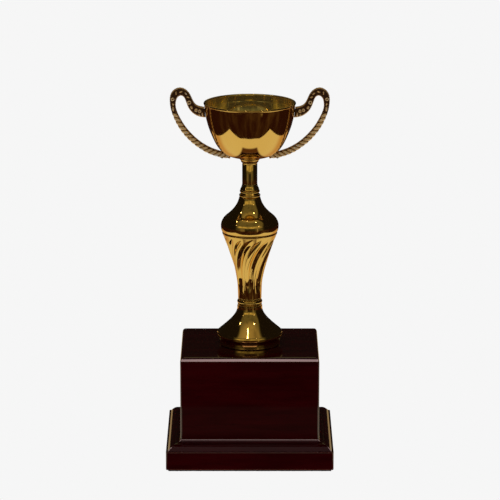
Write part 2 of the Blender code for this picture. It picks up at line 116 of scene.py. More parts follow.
# Column: eight long flutes, with a short leaf-shaped recess between each two.
FLUTES = 8
FLUTE_LOW = 145.5
FLUTE_HIGH = 196.7
FLUTE_DEPTH = 2.2
FLUTE_LEAN = 53.0  # degrees that a flute turns between its top and the height where it runs straight
STRAIGHT_BELOW = 151.5
FLUTE_START = 5.0  # degrees from the front to the top of the first flute
LEAF_LOW = 178.5
LEAF_DEPTH = 1.6
CROWN = 0.16  # how far the ridges between the recesses rise above the recesses' edges
LIP = 2.4  # height of the plain lip above the flutes

# Handle: the centre line from the lug over the curl to the seat, as distance, height and half thickness.
HANDLE_ROUTE = (
    (37.0, 305.1, 4.9), (43.5, 306.1, 4.8), (49.3, 309.9, 3.9), (52.6, 316.2, 3.3),
    (55.6, 321.4, 3.4), (60.3, 323.3, 3.9), (64.7, 320.7, 3.8), (66.4, 315.1, 3.1),
    (66.0, 308.5, 2.7), (63.5, 301.3, 2.8), (59.2, 293.1, 3.0), (52.7, 284.7, 3.1),
    (44.5, 277.3, 3.1), (34.5, 271.3, 3.2), (25.0, 268.1, 3.1), (16.8, 266.6, 2.7),
)
ROPE_FROM = (65.3, 304.4)  # where the cast leaves end and the rope begins
ROPE_PITCH = 4.3
ROPE_LEAN = 0.95  # millimetres along the handle for each millimetre across it
# Cast rings (distance, height, radius) and leaves (distance, height, length, width, degrees of lean).
RINGS = ((52.3, 314.0, 1.25), (66.6, 316.9, 1.05), (46.4, 307.3, 0.95), (43.3, 306.5, 0.95))
LEAVES = (
    (40.9, 303.5, 2.0, 0.8, 88), (43.6, 303.1, 1.5, 0.7, 75), (50.3, 309.6, 1.7, 1.0, 52),
    (53.2, 318.7, 1.6, 0.6, 24), (55.2, 321.8, 1.6, 0.6, 38), (59.4, 323.4, 1.8, 0.6, 160),
    (63.6, 322.3, 1.7, 0.6, 92), (66.3, 312.4, 1.3, 0.7, 60), (66.2, 308.3, 2.4, 0.9, 82),
)

# Right half of the table top that the polished metal mirrors, in metres, from its front edge back. The
# edge bows out a little in the middle.
TABLE_HALF = ((0.07, -0.24), (0.15, -0.215), (0.375, -0.215), (0.42, 0.35), (0.42, 0.6))

# Fasteners.
SCREW_AT = {"upper": (BOWL_SIDE, 0.22), "lower": (BOWL_BELLY, 0.64)}
ROD_PITCH = 1.0
SCREW_PITCH = 0.5
WOOD_PITCH = 1.6
WOOD_SCREWS = ("wood_screw_1", "wood_screw_2", "wood_screw_3", "wood_screw_4")


# ---------------- outlines


def span(node):
    """Lowest height, highest height and widest reach along X of a CAD node, in millimetres."""
    low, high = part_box(node)
    return low.z / MM, high.z / MM, high.x / MM


def cubic_point(control, t):
    weights = ((1 - t) ** 3, 3 * t * (1 - t) ** 2, 3 * t * t * (1 - t), t**3)
    return tuple(sum(w * point[axis] for w, point in zip(weights, control)) for axis in (0, 1))


def cubic(control, steps):
    return [cubic_point(control, step / steps) for step in range(steps + 1)]


def arc(radius, height, half_width, half_height, start, end, steps):
    """Points on an ellipse about (radius, height), from start to end in degrees."""
    angles = np.radians(np.linspace(start, end, steps + 1))
    return [(radius + half_width * math.cos(a), height + half_height * math.sin(a)) for a in angles]


def eased(outline, radius=SOFT_CORNER, sharper_than=24):
    """Round off the corners of a closed outline. Gentle bends, such as those along a curve, stay.

    One more point on each side of a rounded corner keeps its shading off the straight stretches.
    """
    points = [Vector(point) for point in outline]
    result = []
    for index, corner in enumerate(points):
        into = corner - points[index - 1]
        out = points[(index + 1) % len(points)] - corner
        turn = into.angle(out, 0.0)
        if math.degrees(turn) < sharper_than:
            result.append(corner)
            continue
        reach = min(radius * math.tan(turn / 2), 0.4 * into.length, 0.4 * out.length)
        start = corner - into.normalized() * reach
        end = corner + out.normalized() * reach
        result.append(corner - into.normalized() * reach * 1.2)
        for t in np.linspace(0, 1, EASING_STEPS + 1):
            result.append(start * (1 - t) ** 2 + corner * 2 * t * (1 - t) + end * t * t)
        result.append(corner + out.normalized() * reach * 1.2)
    return [tuple(point) for point in result]


def inset(points, wall):
    """The line at a wall's depth inside an outline that runs down the outer side."""
    result = []
    for index in range(len(points)):
        before = Vector(points[max(index - 1, 0)])
        after = Vector(points[min(index + 1, len(points) - 1)])
        along = (after - before).normalized()
        result.append(tuple(Vector(points[index]) - wall * Vector((-along.y, along.x))))
    return result


def thread_line(radius, top, bottom, pitch):
    """Points down a threaded stretch, close enough together to show the thread."""
    count = max(2, round((top - bottom) / pitch * 8))
    return [(radius, height) for height in np.linspace(top, bottom, count + 1)]


# ---------------- meshes


def unit(share):
    """A share kept between 0 and 1."""
    return np.clip(share, 0, 1)


def about_axis(radius, angle, height):
    """Points about Z from a radius, an angle and a height, of which some or all are arrays."""
    return np.stack([radius * np.cos(angle), radius * np.sin(angle), height + 0 * angle], axis=-1)


def grid_mesh(name, points, wrap_rows=False, cap_ends=False, marks=None):
    """Mesh from an array of rows of points in millimetres. Each row is a closed loop.

    Marks are named values to store on the points, in arrays of rows too.
    """
    rows, columns = points.shape[:2]
    row = np.arange(rows if wrap_rows else rows - 1)[:, None]
    column = np.arange(columns)[None, :]
    below = (row + 1) % rows
    beside = (column + 1) % columns
    around = ((row, column), (below, column), (below, beside), (row, beside))
    corners = [along * columns + across for along, across in around]
    faces = np.stack(corners, axis=-1).reshape(-1, 4).tolist()
    if cap_ends:
        faces.append(list(range(columns)))
        faces.append(list(range(rows * columns - 1, (rows - 1) * columns - 1, -1)))
    mesh = bpy.data.meshes.new(name)
    mesh.from_pydata((points.reshape(-1, 3) * MM).tolist(), [], faces)
    for mark, values in (marks or {}).items():
        stored = mesh.attributes.new(mark, "FLOAT", "POINT")
        stored.data.foreach_set("value", values.astype(np.float32).ravel())
    shape = bmesh.new()
    shape.from_mesh(mesh)
    bmesh.ops.remove_doubles(shape, verts=shape.verts, dist=0.002 * MM)
    shape.to_mesh(mesh)
    shape.free()
    mesh.shade_smooth()
    return mesh


def turned_mesh(name, outline, columns=ROUND, threads=(), marks=None):
    """Spin an outline about Z: a closed one, or one that begins and ends on the axis.

    A thread is (bottom, top, pitch, depth) of a stretch that carries one. Marks are named functions of
    radius and height whose values are stored on the points.
    """
    line = np.array(outline, float)
    closed = line[0, 0] > 0
    angle = np.linspace(0, 2 * np.pi, columns, endpoint=False)
    radius = np.repeat(line[:, :1], columns, axis=1)
    height = np.repeat(line[:, 1:], columns, axis=1)
    for bottom, top, pitch, depth in threads:
        inside = (height >= bottom) & (height <= top) & (radius > depth)
        turn = np.abs(((height / pitch - angle / (2 * np.pi)) % 1) * 2 - 1)
        radius = radius - inside * depth * unit(1.5 * turn - 0.25)
    values = {mark: rule(radius, height) for mark, rule in (marks or {}).items()}
    return grid_mesh(name, about_axis(radius, angle, height), wrap_rows=closed, marks=values)


def read_vectors(items, name):
    values = np.empty(len(items) * 3)
    items.foreach_get(name, values)
    return values.reshape(-1, 3)


def mark_edges(mesh, reach):
    """Store how sharply the surface bends at each point: 1 on an edge of that radius, -1 in a crease."""
    count = len(mesh.vertices)
    place = read_vectors(mesh.vertices, "co") / MM
    normal = read_vectors(mesh.vertex_normals, "vector")
    ends = np.empty(len(mesh.edges) * 2, int)
    mesh.edges.foreach_get("vertices", ends)
    first, second = ends.reshape(-1, 2).T
    across = place[second] - place[first]
    square = np.maximum((across**2).sum(1), 1e-9)
    bend = np.bincount(first, -(normal[first] * across).sum(1) / square, count)
    bend += np.bincount(second, (normal[second] * across).sum(1) / square, count)
    number = np.bincount(first, minlength=count) + np.bincount(second, minlength=count)
    curvature = 2 * bend / np.maximum(number, 1)
    values = mesh.attributes.new("edge", "FLOAT", "POINT")
    values.data.foreach_set("value", np.clip(curvature * reach, -1, 1).astype(np.float32))


def add_object(name, data):
    item = bpy.data.objects.new(name, data)
    bpy.context.scene.collection.objects.link(item)
    return item


def add_piece(mesh, body, slot, material, *nodes, reach=0.5, crease=None):
    """Put a finished mesh in the scene in place of its CAD nodes, riding on a body."""
    mark_edges(mesh, reach)
    mesh.materials.append(material)
    piece = add_object(mesh.name, mesh)
    if crease is not None:
        mesh.set_sharp_from_angle(angle=math.radians(crease))
        even = piece.modifiers.new("even_normals", "WEIGHTED_NORMAL")
        even.keep_sharp = True
    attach(piece, body)
    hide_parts(*nodes)
    return piece


def carved(mesh, cutters):
    """The mesh less the cutters' volume."""
    name = mesh.name
    helpers = [add_object("helper", each) for each in (mesh, *cutters)]
    for helper in helpers[1:]:
        difference = helpers[0].modifiers.new("cut", "BOOLEAN")
        difference.operation = "DIFFERENCE"
        difference.object = helper
    bpy.context.view_layer.update()
    graph = bpy.context.evaluated_depsgraph_get()
    result = bpy.data.meshes.new_from_object(helpers[0].evaluated_get(graph))
    for helper in helpers:
        bpy.data.objects.remove(helper)
    bpy.data.meshes.remove(mesh)
    result.name = name
    result.shade_smooth()
    return result


def box_mesh(name, length, depth, bottom, top):
    mesh = bpy.data.meshes.new(name)
    shape = bmesh.new()
    size = Matrix.Diagonal((length * MM, depth * MM, (top - bottom) * MM, 1))
    middle = Matrix.Translation((0, 0, (bottom + top) / 2 * MM))
    bmesh.ops.create_cube(shape, size=1, matrix=middle @ size)
    shape.to_mesh(mesh)
    shape.free()
    return mesh


# ---------------- finishes


class Nodes:
    """Short calls for the shader nodes that the finishes and the room share."""

    def __init__(self, tree):
        self.tree = tree

    def add(self, kind, inputs=None, **settings):
        node = self.tree.nodes.new(f"ShaderNode{kind}")
        for name, value in settings.items():
            setattr(node, name, value)
        for socket, value in (inputs or {}).items():
            self.give(node.inputs[socket], value)
        return node

    def give(self, socket, value):
        """Link a socket to another node's output, or set its own value."""
        if isinstance(value, bpy.types.NodeSocket):
            self.tree.links.new(value, socket)
        elif socket.type == "RGBA":
            socket.default_value = (*value, 1)
        else:
            socket.default_value = value

    def maths(self, operation, first, second=0.0):
        return self.add("Math", {0: first, 1: second}, operation=operation).outputs[0]

    def plus(self, first, second):
        return self.maths("ADD", first, second)

    def less(self, first, second):
        return self.maths("SUBTRACT", first, second)

    def times(self, first, second):
        return self.maths("MULTIPLY", first, second)

    def smooth(self, value, start, end, low=0.0, high=1.0):
        """Smooth step from low to high as the value goes from start to end."""
        inputs = {"Value": value, "From Min": start, "From Max": end, "To Min": low, "To Max": high}
        return self.add("MapRange", inputs, interpolation_type="SMOOTHSTEP").outputs[0]

    def mix(self, factor, first, second):
        return self.add("Mix", {0: factor, 6: first, 7: second}, data_type="RGBA").outputs[2]

    def band(self, value, middle, half):
        """1 where the value is at the middle, falling smoothly to 0 at the half width."""
        distance = self.maths("ABSOLUTE", self.less(value, middle))
        return self.smooth(distance, half, 0.5 * half)

    def noise(self, vector, size, detail=3.0, rough=0.55, stretch=(1.0, 1.0, 1.0)):
        """Noise with features about that many millimetres wide, longer along axes with a small stretch."""
        if stretch != (1.0, 1.0, 1.0):
            stretched = self.add("VectorMath", {0: vector, 1: stretch}, operation="MULTIPLY")
            vector = stretched.outputs[0]
        inputs = {"Vector": vector, "Scale": 1 / (size * MM), "Detail": detail, "Roughness": rough}
        return self.add("TexNoise", inputs).outputs[0]

    def bump(self, height, depth, strength=1.0):
        """Bump of that depth in millimetres."""
        inputs = {"Height": height, "Distance": depth * MM, "Strength": strength}
        return self.add("Bump", inputs).outputs[0]


class Finish(Nodes):
    """A material with its shader, the object's own coordinates and the stored bend of its surface."""

    def __init__(self, name, metallic=0.0):
        self.material = bpy.data.materials.new(name)
        self.material.use_nodes = True
        super().__init__(self.material.node_tree)
        self.shader = self.tree.nodes["Principled BSDF"]
        self.shader.inputs["Metallic"].default_value = metallic
        self.place = self.add("TexCoord").outputs["Object"]

    def grain(self, size, **look):
        """Noise in the object's own space."""
        return self.noise(self.place, size, **look)

    def stored(self, name):
        return self.add("Attribute", attribute_name=name).outputs["Fac"]

    def set(self, **values):
        for name, value in values.items():
            self.give(self.shader.inputs[name.replace("_", " ")], value)
        return self.material


def polished_gold(name, hazy_inside_with_painted_light=False):
    """Lacquered gold plate with turning lines, wipe marks, slightly rubbed edges and painted shade in its
    creases.

    Points marked as inside are hazier, and lighter with a colour that paints light onto the bowl's inside.
    """
    gold = Finish(name, metallic=1.0)
    cloud = gold.grain(22, detail=2)
    wipe = gold.smooth(gold.grain(9, detail=4, rough=0.6), 0.5, 0.75)
    line = gold.grain(0.22, detail=2, stretch=(0.05, 0.05, 1.0))
    grain = gold.grain(0.6, detail=3)
    edge = gold.stored("edge")
    rubbed = gold.times(gold.smooth(edge, 0.25, 0.9), gold.smooth(grain, 0.35, 0.65))
    # Painted shade: creases are darkened towards a near-black brown.
    crease_shade = gold.smooth(edge, -0.25, -0.9)
    colour = gold.mix(cloud, BRIGHT_GOLD, DEEP_GOLD)
    colour = gold.mix(gold.times(rubbed, 0.35), colour, RUBBED_GOLD)
    colour = gold.mix(gold.times(crease_shade, 0.6), colour, PAINTED_CREASE_SHADE)
    marks = gold.plus(gold.times(wipe, 0.035), gold.times(rubbed, 0.12))
    shine = gold.plus(marks, 0.055)
    surface = gold.plus(line, gold.times(grain, 0.5))
    normal = gold.bump(surface, 0.003, 0.5)
    if hazy_inside_with_painted_light:
        inside = gold.stored("inside")
        shine = gold.plus(shine, gold.times(inside, 0.02))
        # Painted light: the inside gets a lighter gold colour.
        colour = gold.mix(inside, colour, PAINTED_LIGHT_INSIDE_GOLD)
        gold.set(Metallic=gold.less(1.0, gold.times(inside, 0.07)))
    return gold.set(Base_Color=colour, Roughness=shine, Normal=normal)


def antique_gold(name):
    """Cast gold: brown patina in its hollows, bright high spots and a few places worn to grey metal."""
    cast = Finish(name, metallic=0.75)
    relief = cast.stored("relief")
    edge = cast.stored("edge")
    grain = cast.grain(0.5, detail=4, rough=0.65)
    cloud = cast.grain(6, detail=3)
    height = cast.plus(relief, cast.times(edge, 0.22))
    height = cast.plus(height, cast.times(cast.less(grain, 0.5), 0.35))
    colour = cast.mix(cast.smooth(height, 0.05, 0.45), CAST_HOLLOW, CAST_GOLD)
    colour = cast.mix(cast.smooth(height, 0.5, 0.95), colour, CAST_HIGH_SPOT)
    worn = cast.times(cast.smooth(cloud, 0.57, 0.66), cast.smooth(height, 0.3, 0.7))
    colour = cast.mix(cast.times(worn, 0.75), colour, BARE_METAL)
    rough = cast.smooth(height, 0.1, 0.9, 0.5, 0.3)
    normal = cast.bump(grain, 0.05, 0.6)
    return cast.set(Base_Color=colour, Roughness=rough, Normal=normal)


def gloss_mahogany(name):
    """Dark red lacquered wood: figure and pores along X under a gloss coat that thins at the edges, where a
    lighter colour is partly wear and partly painted highlight.
    """
    wood = Finish(name)
    figure = wood.grain(9, detail=4, rough=0.6, stretch=(0.12, 1.0, 1.0))
    pores = wood.grain(0.7, detail=3, rough=0.7, stretch=(0.07, 1.0, 1.0))
    wave = wood.grain(5, detail=1)
    peel = wood.grain(1.4, detail=2)
    colour = wood.mix(wood.smooth(figure, 0.3, 0.7), DARK_WOOD, RED_WOOD)
    colour = wood.mix(wood.smooth(pores, 0.56, 0.72, 0.0, 0.5), colour, WOOD_PORE)
    # Lighter colour along the edges: partly worn, thin lacquer and partly painted highlight.
    wear_and_highlight_edges = wood.smooth(wood.stored("edge"), 0.2, 0.9)
    wear_and_painted_highlight = wood.times(wear_and_highlight_edges, wood.smooth(peel, 0.3, 0.7))
    colour = wood.mix(wood.times(wear_and_painted_highlight, 0.35), colour, EDGE_WEAR_AND_PAINTED_HIGHLIGHT)
    surface = wood.plus(wave, wood.times(peel, 0.25))
    normal = wood.bump(surface, 0.002, 0.6)
    rough = wood.smooth(peel, 0.2, 0.8, 0.35, 0.5)
    facing = wood.add("LayerWeight", {"Blend": 0.5}).outputs["Facing"]
    glancing = wood.smooth(facing, 0.35, 0.8, 0.03, 1.0)
    coat = wood.maths("MAXIMUM", glancing, wood.smooth(wood.stored("edge"), 0.1, 0.5))
    wood.set(Base_Color=colour, Roughness=rough, Normal=normal, Coat_Normal=normal)
    return wood.set(Specular_IOR_Level=0.0, Coat_Weight=coat, Coat_Roughness=0.05, Coat_IOR=1.7)


def zinc_steel(name):
    """Zinc-plated steel with faint spangle, painted shade in its hollows and rubbed edges."""
    zinc = Finish(name, metallic=1.0)
    spangle = zinc.grain(1.5, detail=3)
    grain = zinc.grain(0.25, detail=3)
    edge = zinc.stored("edge")
    colour = zinc.mix(spangle, (0.50, 0.51, 0.53), (0.66, 0.66, 0.64))
    # Painted shade: the hollows are darkened.
    colour = zinc.mix(zinc.smooth(edge, -0.2, -0.8, 0.0, 0.7), colour, (0.10, 0.085, 0.07))
    colour = zinc.mix(zinc.smooth(edge, 0.3, 0.9, 0.0, 0.5), colour, BARE_METAL)
    rough = zinc.smooth(grain, 0.3, 0.7, 0.24, 0.42)
    return zinc.set(Base_Color=colour, Roughness=rough, Normal=zinc.bump(grain, 0.01, 0.5))


def black_felt(name):
    """Pressed wool felt: matted fibres, lint and a soft sheen."""
    felt = Finish(name)
    fibre = felt.grain(0.35, detail=5, rough=0.75, stretch=(1.0, 0.35, 1.0))
    mat = felt.grain(2.5, detail=3)
    lint = felt.smooth(felt.grain(0.8, detail=2), 0.68, 0.78, 0.0, 0.5)
    colour = felt.mix(mat, (0.010, 0.009, 0.010), (0.022, 0.020, 0.022))
    colour = felt.mix(lint, colour, (0.10, 0.09, 0.085))
    rough = felt.smooth(fibre, 0.3, 0.7, 0.85, 1.0)
    normal = felt.bump(fibre, 0.12, 0.8)
    felt.set(Base_Color=colour, Roughness=rough, Normal=normal)
    return felt.set(Sheen_Weight=0.35, Sheen_Roughness=0.5)


# ---------------- wooden base


def rectangle_loop(length, depth, corner, height):
    """Outline of a board with rounded corners and points along its sides, counter-clockwise."""
    steps = 8
    along = 12
    corners = []
    for quarter, (side_x, side_y) in enumerate(((1, 1), (-1, 1), (-1, -1), (1, -1))):
        centre = Vector((side_x * (length / 2 - corner), side_y * (depth / 2 - corner)))
        angles = [math.radians(90 * (quarter + step / steps)) for step in range(steps + 1)]
        corners.append([centre + corner * Vector((math.cos(a), math.sin(a))) for a in angles])
    loop = []
    for points, following in zip(corners, corners[1:] + corners[:1]):
        start = points[-1]
        end = following[0]
        margin = EDGE_GUARD / (end - start).length
        loop += points + [start.lerp(end, share) for share in np.linspace(margin, 1 - margin, along)]
    return [(point.x, point.y, height) for point in loop]


def circle_loop(like, radius, height):
    """Circle with as many points as another loop, each in that loop's direction from the axis."""
    reach_x = max(point[0] for point in like)
    reach_y = max(point[1] for point in like)
    angles = [math.atan2(y / reach_y, x / reach_x) for x, y, _ in like]
    return [(radius * math.cos(a), radius * math.sin(a), height) for a in angles]


def build_board(node, name, slot, wood, profile, bores, holes, reach):
    """Board from a moulding profile of (inset, height) down its outer side.

    Bores run up its middle, and the holes for the wood screws are cut.
    """
    length = 2 * span(node)[2]
    depth = 2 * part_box(node)[1].y / MM
    loops = [
        rectangle_loop(length - 2 * into, depth - 2 * into, max(BOARD_CORNER - into, 0.3), height)
        for into, height in profile
    ]
    loops += [circle_loop(loops[0], radius, height) for radius, height in bores]
    board = carved(grid_mesh(name, np.array(loops), wrap_rows=True), holes)
    return add_piece(board, "base", slot, wood, node, reach=reach, crease=50)


def wood_screw_outline(margin):
    """Countersunk screw with its point up, or the hole that it sits in if there is a margin."""
    low, high, _ = span("wood_screw_1")
    head = 4.0 + margin
    shank = 1.9 + margin
    floor = low - 4 * margin
    line = [(0, high + 4 * margin), (shank * 0.45, high - 2)]
    line += thread_line(shank, high - 4, low + 12, WOOD_PITCH)
    line += [(shank, low + 2.6), (head, low + 0.5), (head, floor), (0, floor)]
    return line


def to_axis(node):
    """Move from Z to a node's own upright axis."""
    low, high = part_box(node)
    middle = (low + high) / 2
    return Matrix.Translation((middle.x, middle.y, 0))


def screw_hole_cutters():
    holes = []
    for node in WOOD_SCREWS:
        hole = turned_mesh("screw_hole", wood_screw_outline(GAP), SMALL_ROUND)
        hole.transform(to_axis(node))
        holes.append(hole)
    return holes


def lower_edge(bottom, ease):
    """Eased lower edge of a board, with a guard row above it and one inside it."""
    points = [(0, bottom + ease + EDGE_GUARD), (0, bottom + ease), (0.3 * ease, bottom + 0.3 * ease)]
    return [*points, (ease, bottom), (ease + EDGE_GUARD, bottom)]


def build_block(wood, holes):
    bottom, top, _ = span("base_block")
    corner_height = top - BLOCK_ROUNDOVER
    corner = arc(0, corner_height, BLOCK_ROUNDOVER, BLOCK_ROUNDOVER, 90, 0, 12)
    profile = [(BLOCK_ROUNDOVER + EDGE_GUARD, top)]
    profile += [(BLOCK_ROUNDOVER - x, z) for x, z in corner]
    profile += [(0, corner_height - EDGE_GUARD), *lower_edge(bottom, 0.4)]
    bores = [(BORE + EDGE_GUARD, bottom), (BORE, bottom), (BORE, top), (BORE + EDGE_GUARD, top)]
    return build_board("base_block", "wooden_block", "block_wood", wood, profile, bores, holes, 3.2)


def build_plinth(wood, holes):
    bottom, top, half = span("base_plinth")
    margin = half - span("base_block")[2]
    profile = [(margin, top), *cubic(MOULDING_HOLLOW, 14), *cubic(MOULDING_SWELL, 18)[1:]]
    profile += [(1.4, FACE_TOP), (0.5, FACE_TOP), (0.1, FACE_TOP - 0.15), (0, FACE_TOP - 0.5)]
    profile += [(0, FACE_TOP - 0.5 - EDGE_GUARD), *lower_edge(bottom, 1.0)]
    bores = [(COUNTERBORE, bottom), (COUNTERBORE, COUNTERBORE_TOP), (BORE, COUNTERBORE_TOP), (BORE, top)]
    return build_board("base_plinth", "moulded_plinth", "plinth_wood", wood, profile, bores, holes, 2.4)


def build_wood_screws(steel):
    bottom, top, _ = span(WOOD_SCREWS[0])
    threads = [(bottom + 12, top - 2, WOOD_PITCH, 0.45)]
    for node in WOOD_SCREWS:
        screw = turned_mesh(node.replace("wood", "countersunk"), wood_screw_outline(0), SMALL_ROUND, threads)
        screw = carved(screw, [box_mesh("slot", 6.5, 1, bottom - 1, bottom + 1)])
        screw.transform(to_axis(node))
        add_piece(screw, "base", "wood_screw_steel", steel, node, reach=0.3, crease=40)


def build_base(felt, steel):
    """The whole base. Its two boards are returned, for the lamp that lights only them."""
    holes = screw_hole_cutters()
    block = build_block(gloss_mahogany("block_mahogany"), holes)
    plinth = build_plinth(gloss_mahogany("plinth_mahogany"), holes)
    build_felt(felt)
    build_wood_screws(steel)
    return block, plinth


def build_felt(material):
    """Thin pad of felt under the plinth, with a soft uneven edge and a matted face."""
    low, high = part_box("felt_pad")
    size = (high - low) / MM
    half = size.y / 2
    top = size.z
    across = np.linspace(-half, half, 126)
    under = [(y, 0.0) for y in across] + [(half, top / 2)]
    upper = [(y, top) for y in across[::-1]] + [(-half, top / 2)]
    section = np.array(under + upper)
    stations = np.linspace(-size.x / 2, size.x / 2, 142)
    points = np.empty((len(stations), len(section), 3))
    points[..., 0] = stations[:, None]
    points[..., 1:] = section
    random = np.random.default_rng(7)
    matting = random.uniform(0, 0.09, points.shape[:2])
    points[..., 2] += matting * np.sign(top / 2 - section[:, 1])
    rim = np.abs(points[..., 1]) > half - 0.4
    points[..., 1] -= np.sign(points[..., 1]) * rim * random.uniform(0, 0.3, points.shape[:2])
    mesh = grid_mesh("felt_sheet", points[::-1], cap_ends=True)
    felt = add_piece(mesh, "base", "felt", material, "felt_pad")


# ---------------- figure


def build_foot(gold):
    bottom, top, edge = span("bell_foot")
    outer = [(BORE, top), (FOOT_FLARE[0][0], top), *cubic(FOOT_FLARE, 44)]
    outer += arc(edge - 0.55, 107.7, 0.55, 1.1, 60, 0, 4)
    outer += arc(edge - 0.5, 106.4, 0.5, 0.5, 0, -60, 4)
    outer += cubic(((28.1, 105.6), (26.6, 104.8), (26.3, 102.2), (26.7, bottom + 0.3)), 12)
    outer.append((26.1, bottom))
    inner = [(BORE, top - FOOT_WALL), *inset(cubic(FOOT_FLARE, 12), FOOT_WALL)[2:]]
    inner += [(26.6, 105.9), (24.6, bottom)]
    mesh = turned_mesh("bell_foot_shell", eased(outer + inner[::-1]))
    add_piece(mesh, "figure", "foot_gold", gold, "bell_foot")


def build_ring(gold):
    """Astragal: a round bead between two fillets."""
    bottom, top, radius = span("column_ring")
    middle = (bottom + top) / 2 + 0.2
    bore = 7
    outer = [(bore, top), (radius - 0.9, top), (radius - 0.8, top - 0.9), (radius - 1.1, top - 1.0)]
    outer += arc(radius - 1.5, middle, 1.5, 1.9, 75, -75, 14)
    outer += [(radius - 1.0, bottom + 1.1), (radius - 0.4, bottom + 0.9)]
    outer += [(radius - 0.4, bottom), (bore, bottom)]
    mesh = turned_mesh("astragal_ring", eased(outer, 0.12))
    add_piece(mesh, "figure", "ring_gold", gold, "column_ring", reach=0.4)


def column_radius():
    """Function that gives the radius of the column's outer side at a height."""
    line = np.array(cubic(COLUMN_SWEEP, 200))
    return lambda height: np.interp(height, line[:, 1], line[:, 0])


def column_rows(bottom, top):
    """Heights of the rows of points down the fluted side, closer together where the leaves end."""
    upper = np.arange(top, LEAF_LOW - 3, -0.28)
    lower = np.arange(upper[-1] - 0.45, FLUTE_LOW - 3, -0.45)
    foot = np.linspace(lower[-1] - 0.6, bottom, 8)
    return np.concatenate([upper, lower, foot])


def build_column(gold):
    """Trumpet with crisp leaning flutes. Columns of points follow the flutes' edges to keep them clean."""
    bottom, top, lip = span("fluted_column")
    radius_at = column_radius()
    height = column_rows(bottom, top - LIP)[:, None]

    # Half widths in degrees of the long flutes and of the leaves, and their depths, at each height.
    long_share = (height - FLUTE_LOW) / (FLUTE_HIGH - FLUTE_LOW)
    long_half = np.interp(height, (156.5, 193.5), (14.0, 9.0))
    long_half = long_half * unit((1 - long_share) * 9) ** 0.6 * unit(long_share * 7) ** 0.5
    long_half = np.maximum(long_half, 0.3)
    long_depth = FLUTE_DEPTH * np.sin(0.5 * np.pi * unit((1 - long_share) * 5)) * unit(long_share * 4)
    leaf_share = (height - LEAF_LOW) / (FLUTE_HIGH - 1 - LEAF_LOW)
    leaf_half = 6.0 * unit(leaf_share * 1.6) ** 0.8 * unit((1 - leaf_share) * 5) ** 0.6
    leaf_half = np.maximum(leaf_half, 0.25)
    leaf_depth = LEAF_DEPTH * unit(leaf_share * 2.5) * unit((1 - leaf_share) * 4) ** 0.7

    # One period: across the long flute, the ridge, the leaf and the other ridge.
    pitch = 360 / FLUTES
    across_flute = np.linspace(-1, 1, 14)
    across_ridge = np.linspace(-1, 1, 9)[1:-1]
    across_leaf = np.linspace(-1, 1, 11)
    ridge_half = (pitch / 2 - long_half - leaf_half) / 2
    ridge_middle = long_half + ridge_half
    crown = CROWN * unit(long_share * 8) * unit((1 - long_share) * 8)
    ridge_dip = crown * across_ridge**4
    parts = [
        (long_half * across_flute, long_depth * (1 - np.abs(across_flute) ** 1.3) + crown),
        (ridge_middle + ridge_half * across_ridge, ridge_dip),
        (pitch / 2 + leaf_half * across_leaf, leaf_depth * (1 - across_leaf**2) + crown),
        (pitch - ridge_middle + ridge_half * across_ridge, ridge_dip),
    ]
    angle = np.concatenate([part[0] for part in parts], axis=1)
    dip = np.concatenate([part[1] for part in parts], axis=1)

    angle = np.concatenate([angle + pitch * flute for flute in range(FLUTES)], axis=1)
    dip = np.tile(dip, (1, FLUTES))
    rise = np.clip((height - STRAIGHT_BELOW) / (FLUTE_HIGH - STRAIGHT_BELOW), 0, None)
    lean = -FLUTE_LEAN * (1 - rise**2)
    azimuth = np.radians(angle + lean + FLUTE_START - 90)
    side = about_axis(radius_at(height) - dip, azimuth, height)

    turn = azimuth[0]
    ledge = radius_at(top - LIP)
    lip_line = [(lip - 2.4, top), (lip - 0.5, top), *arc(lip - 0.5, top - 0.5, 0.5, 0.5, 75, 0, 4)]
    lip_line += [(lip, top - 1.3), (lip - 0.08, top - 1.55), (ledge + 0.35, top - 1.75), (ledge, top - 2.05)]
    head = [about_axis(r, turn, z) for r, z in lip_line]
    wall = FLUTE_DEPTH + 1.3
    last = azimuth[-1]
    inner_levels = np.linspace(bottom, top - LIP, 14)
    inner_turns = [last + (turn - last) * share for share in np.linspace(0, 1, 14)]
    hollow = [about_axis(radius_at(z) - wall, a, z) for z, a in zip(inner_levels, inner_turns)]
    foot = [about_axis(radius_at(bottom) - 0.3, last, bottom)]
    points = np.concatenate([np.array(head), side, np.array(foot), np.array(hollow)])
    mesh = grid_mesh("column_with_flutes", points, wrap_rows=True)
    add_piece(mesh, "figure", "column_gold", gold, "fluted_column", reach=0.3)


def build_knop(gold):
    bottom, top, _ = span("onion_knop")
    outer = [(BORE, top), *cubic(KNOP_THROAT, 10)]
    for radius, height in KNOP_BEADS:
        outer += arc(radius, height, 0.9, 1.1, 90, -90, 12)
    outer += cubic(KNOP_SHOULDER, 30)[1:] + cubic(KNOP_BULGE, 34)[1:]
    inner = [(BORE, top - KNOP_WALL), (KNOP_THROAT[0][0] - KNOP_WALL, top - KNOP_WALL - 2), (7.0, 232.5)]
    inner += inset(cubic(KNOP_SHOULDER, 10), KNOP_WALL)[2:] + inset(cubic(KNOP_BULGE, 10), KNOP_WALL)[1:-1]
    inner.append((KNOP_BULGE[3][0] - KNOP_WALL, bottom))
    mesh = turned_mesh("knop_shell", eased(outer + inner[::-1], 0.2))
    add_piece(mesh, "figure", "knop_gold", gold, "onion_knop", reach=0.4)


